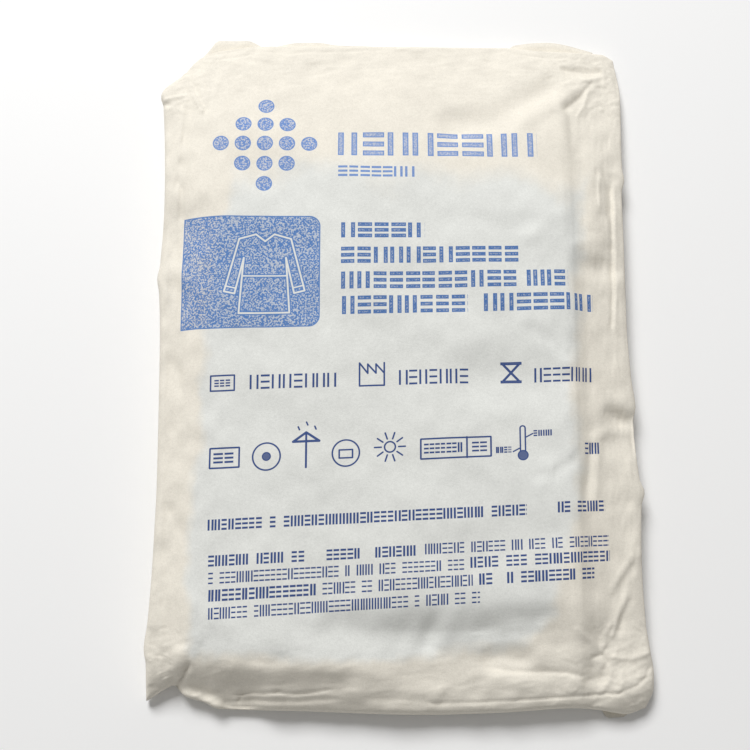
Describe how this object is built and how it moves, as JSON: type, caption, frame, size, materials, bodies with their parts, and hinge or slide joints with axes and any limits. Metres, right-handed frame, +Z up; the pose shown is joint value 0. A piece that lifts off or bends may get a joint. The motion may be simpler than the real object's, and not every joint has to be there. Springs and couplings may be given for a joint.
{
  "type": "sterile paper pouch with a folded surgical gown",
  "caption": "Sealed paper pouch lying flat, domed over a folded surgical gown, with folded-under ends and crumpled corners.",
  "frame": {"origin": "middle of the underside, on the surface the pouch lies on", "axes": "+X across the pouch to the reader's right, +Y along it towards the opening end, +Z up from the surface"},
  "size_m": [0.2457, 0.348, 0.026],
  "materials": {
    "printed_paper": "matt uncoated medical paper with a plain blue print",
    "plain_paper": "matt uncoated medical paper",
    "gown_fabric": "matt blue nonwoven"
  },
  "bodies": {
    "root": {"front_sheet": "printed_paper", "back_sheet": "plain_paper", "top_flap": "plain_paper", "bottom_flap": "plain_paper", "gown": "gown_fabric"}
  },
  "joints": []
}
